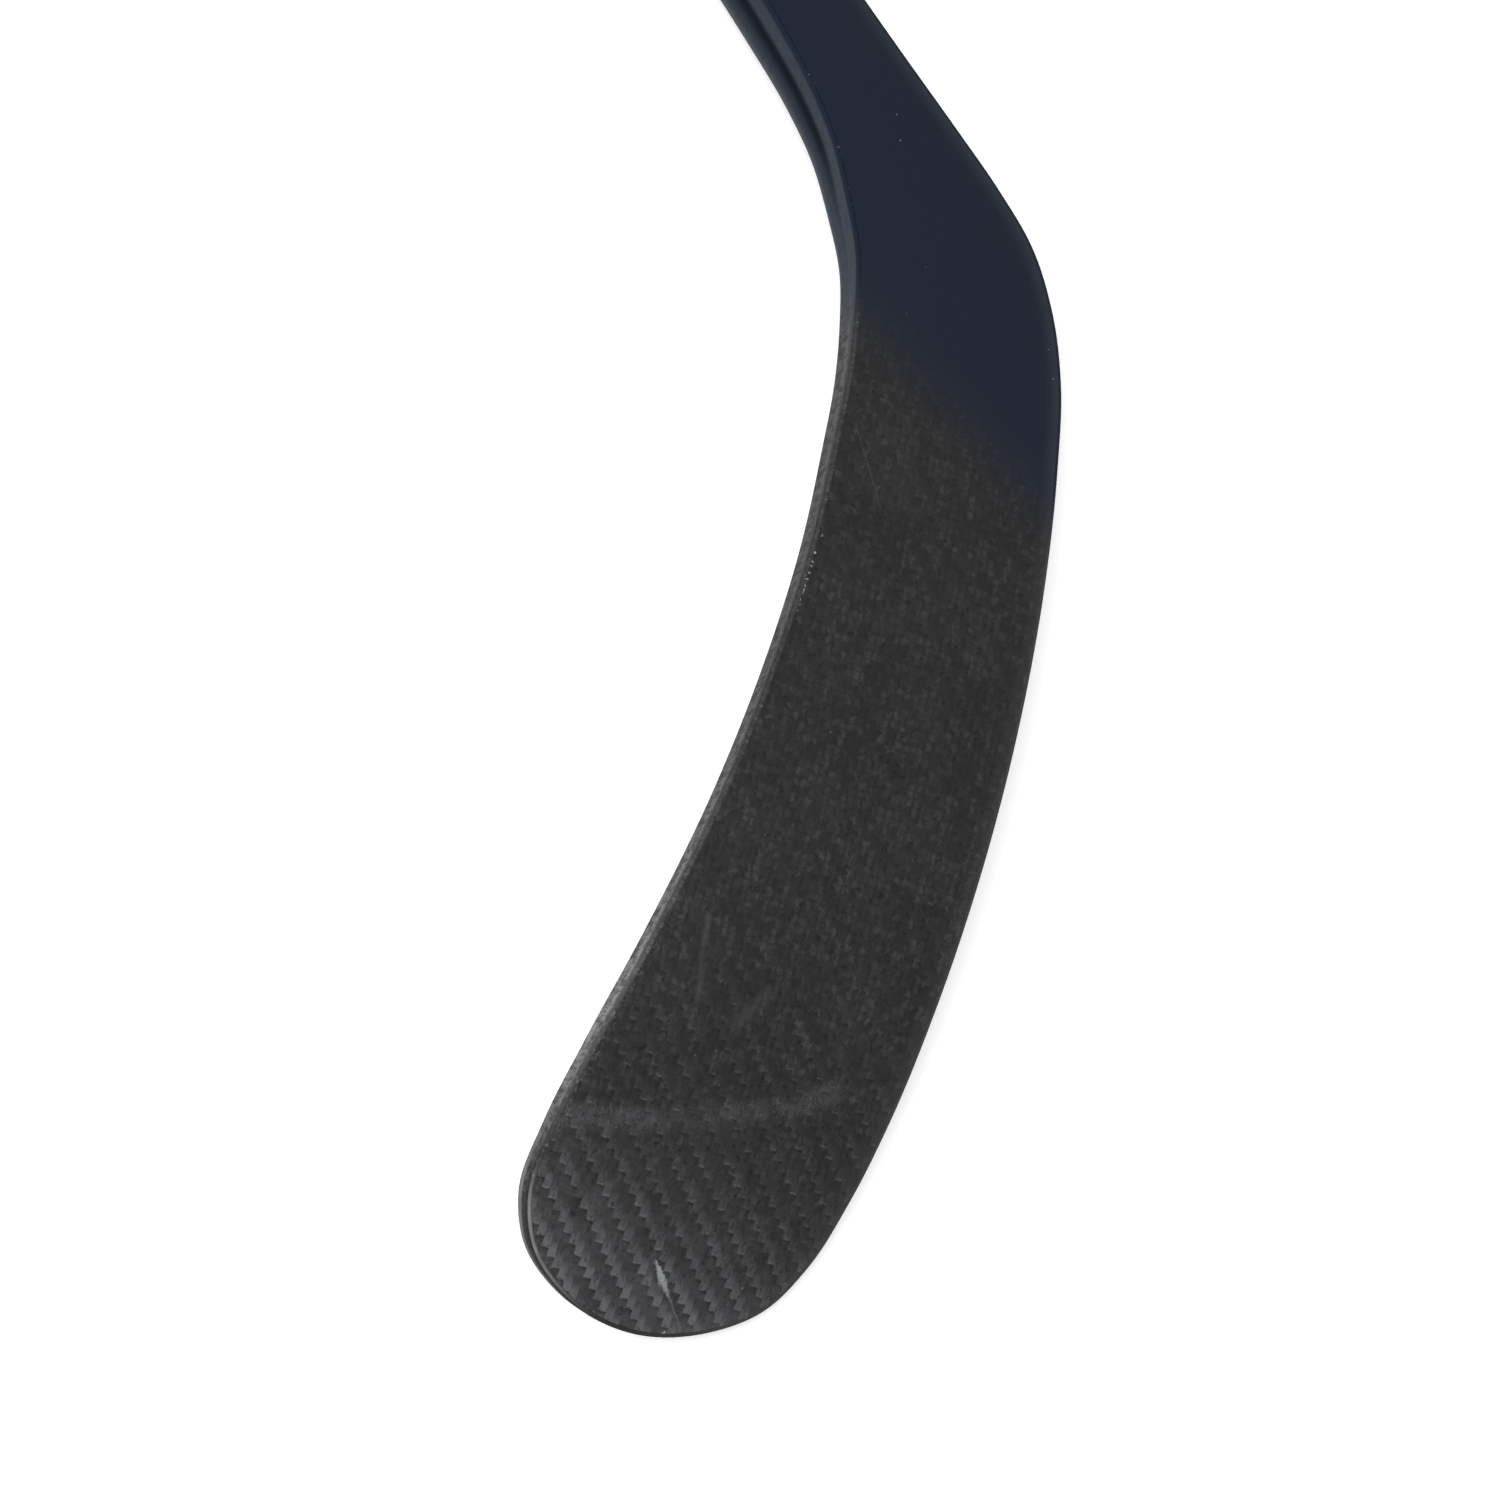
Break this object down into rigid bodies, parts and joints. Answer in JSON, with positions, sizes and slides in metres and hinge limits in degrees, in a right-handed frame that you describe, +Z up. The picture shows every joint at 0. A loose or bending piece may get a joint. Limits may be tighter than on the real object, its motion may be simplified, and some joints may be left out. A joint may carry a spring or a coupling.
{
  "type": "ice hockey stick",
  "caption": "Left-handed one-piece composite ice hockey stick with a curved woven-carbon blade, open toe and hollow tapered shaft, for shooting and passing a puck.",
  "frame": {"origin": "middle of the stick's bounding box, on the ground that it rests on", "axes": "+X along the shaft from the heel to the butt, +Y across the ground towards the side that the blade is on, +Z up; the stick rests on the back edge of its shaft and the toe of its blade, so the shaft is rolled 11.59 degrees about X"},
  "size_m": [1.6742, 0.2588, 0.0353],
  "materials": {
    "carbon_weave": "satin clear coat over 2/2 twill carbon, navy paint fading in towards the shaft",
    "carbon_weave_forehand": "satin clear coat over 2/2 twill carbon",
    "worn_edge_laminate": "worn grey laminate edge, painted navy up the hosel",
    "toe_edge_laminate": "satin, scuffed",
    "sole_edge_laminate": "satin, scuffed",
    "heel_foam": "dense closed-cell foam",
    "lower_foam": "closed-cell foam",
    "upper_foam": "closed-cell foam",
    "spine_laminate": "raw carbon laminate",
    "raw_laminate": "raw carbon laminate",
    "tenon_foam": "dense closed-cell foam",
    "painted_shaft": "satin navy paint over carbon laminate",
    "plug_foam": "closed-cell foam",
    "cap_plastic": "moulded satin plastic"
  },
  "bodies": {
    "root": {"backhand_skin": "carbon_weave", "forehand_skin": "carbon_weave_forehand", "top_edge_band": "worn_edge_laminate", "toe_edge_band": "toe_edge_laminate", "sole_edge_band": "sole_edge_laminate", "heel_core": "heel_foam", "lower_core": "lower_foam", "upper_core": "upper_foam", "spine_rib": "spine_laminate", "hosel_tenon": "raw_laminate", "tenon_core": "tenon_foam", "shaft_tube": "painted_shaft", "shaft_plug": "plug_foam", "end_cap": "cap_plastic"}
  },
  "joints": []
}
